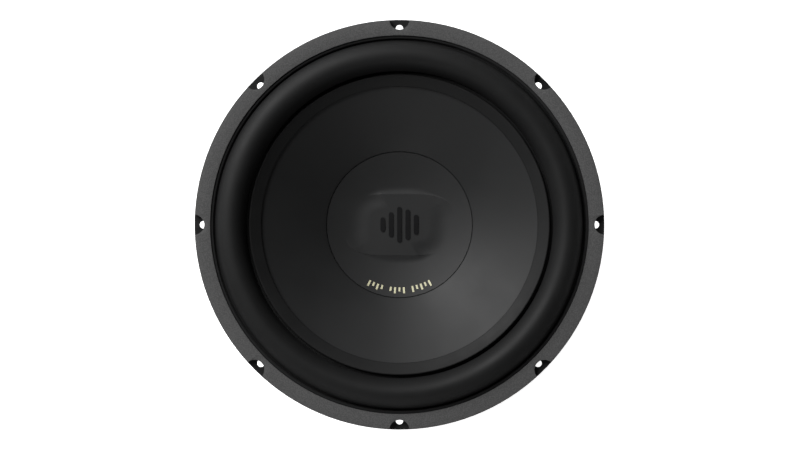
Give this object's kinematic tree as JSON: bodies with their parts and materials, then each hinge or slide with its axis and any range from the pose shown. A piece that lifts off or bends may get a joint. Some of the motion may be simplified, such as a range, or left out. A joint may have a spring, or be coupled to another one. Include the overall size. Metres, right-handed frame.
{
  "type": "car subwoofer speaker",
  "caption": "Round car subwoofer driver: flanged steel basket, gasket, rubber roll surround, dished cone with flush cap, spider, voice coil, ring magnets and push terminals.",
  "frame": {"origin": "centre of the flange's rear mounting face, on the driver's axis", "axes": "+Z along the driver's axis, out of the front of the cone; +X towards one terminal block, through a mounting hole; +Y through a mounting hole, up in the upright product view"},
  "size_m": [0.308, 0.308, 0.1557],
  "materials": {
    "black_steel": "satin",
    "gasket_rubber": "matte",
    "surround_rubber": "satin",
    "cone_polymer": "satin",
    "cap_polymer": "satin",
    "emblem_gloss": "gloss",
    "spider_cloth": "matte",
    "former_aluminium": "satin",
    "coil_copper": "gloss",
    "plated_steel": "satin",
    "ferrite": "matte",
    "boot_rubber": "matte",
    "terminal_plastic": "satin",
    "red_plastic": "satin",
    "black_plastic": "satin",
    "spring_steel": "satin",
    "contact_brass": "satin",
    "lead_braid": "matte"
  },
  "bodies": {
    "frame": {"basket": "black_steel", "front_gasket": "gasket_rubber", "surround": "surround_rubber", "spider": "spider_cloth", "top_plate": "plated_steel", "pole_and_back_plate": "plated_steel", "front_magnet": "ferrite", "rear_magnet": "ferrite", "magnet_boot": "boot_rubber", "vent_screen": "plated_steel", "plate_rivets": "plated_steel", "terminal_rivets": "plated_steel", "terminal_block_right": "terminal_plastic", "button_spring_right_positive": "spring_steel", "contact_right_positive": "contact_brass", "tinsel_lead_right_positive": "lead_braid", "button_spring_right_negative": "spring_steel", "contact_right_negative": "contact_brass", "tinsel_lead_right_negative": "lead_braid", "terminal_block_left": "terminal_plastic", "button_spring_left_positive": "spring_steel", "contact_left_positive": "contact_brass", "tinsel_lead_left_positive": "lead_braid", "button_spring_left_negative": "spring_steel", "contact_left_negative": "contact_brass", "tinsel_lead_left_negative": "lead_braid"},
    "cone_assembly": {"cone": "cone_polymer", "dust_cap": "cap_polymer", "emblem_bars": "emblem_gloss", "coil_former": "former_aluminium", "voice_coil": "coil_copper"},
    "button_right_positive": {"push_button_right_positive": "red_plastic"},
    "button_right_negative": {"push_button_right_negative": "black_plastic"},
    "button_left_positive": {"push_button_left_positive": "red_plastic"},
    "button_left_negative": {"push_button_left_negative": "black_plastic"}
  },
  "joints": [
    {"name": "cone_stroke", "type": "slide", "parent": "frame", "child": "cone_assembly", "axis": [0, 0, 1], "range_m": [-0.014, 0.014], "stiffness_N_per_m": 6700, "deforming": ["surround", "spider", "tinsel_lead_right_positive", "tinsel_lead_right_negative", "tinsel_lead_left_positive", "tinsel_lead_left_negative"]},
    {"name": "button_right_positive_push", "type": "slide", "parent": "frame", "child": "button_right_positive", "axis": [-1, 0, 0], "range_m": [0, 0.003], "stiffness_N_per_m": 600, "springref_m": -0.001, "deforming": ["button_spring_right_positive"]},
    {"name": "button_right_negative_push", "type": "slide", "parent": "frame", "child": "button_right_negative", "axis": [-1, 0, 0], "range_m": [0, 0.003], "stiffness_N_per_m": 600, "springref_m": -0.001, "deforming": ["button_spring_right_negative"]},
    {"name": "button_left_positive_push", "type": "slide", "parent": "frame", "child": "button_left_positive", "axis": [1, 0, 0], "range_m": [0, 0.003], "stiffness_N_per_m": 600, "springref_m": -0.001, "deforming": ["button_spring_left_positive"]},
    {"name": "button_left_negative_push", "type": "slide", "parent": "frame", "child": "button_left_negative", "axis": [1, 0, 0], "range_m": [0, 0.003], "stiffness_N_per_m": 600, "springref_m": -0.001, "deforming": ["button_spring_left_negative"]}
  ]
}
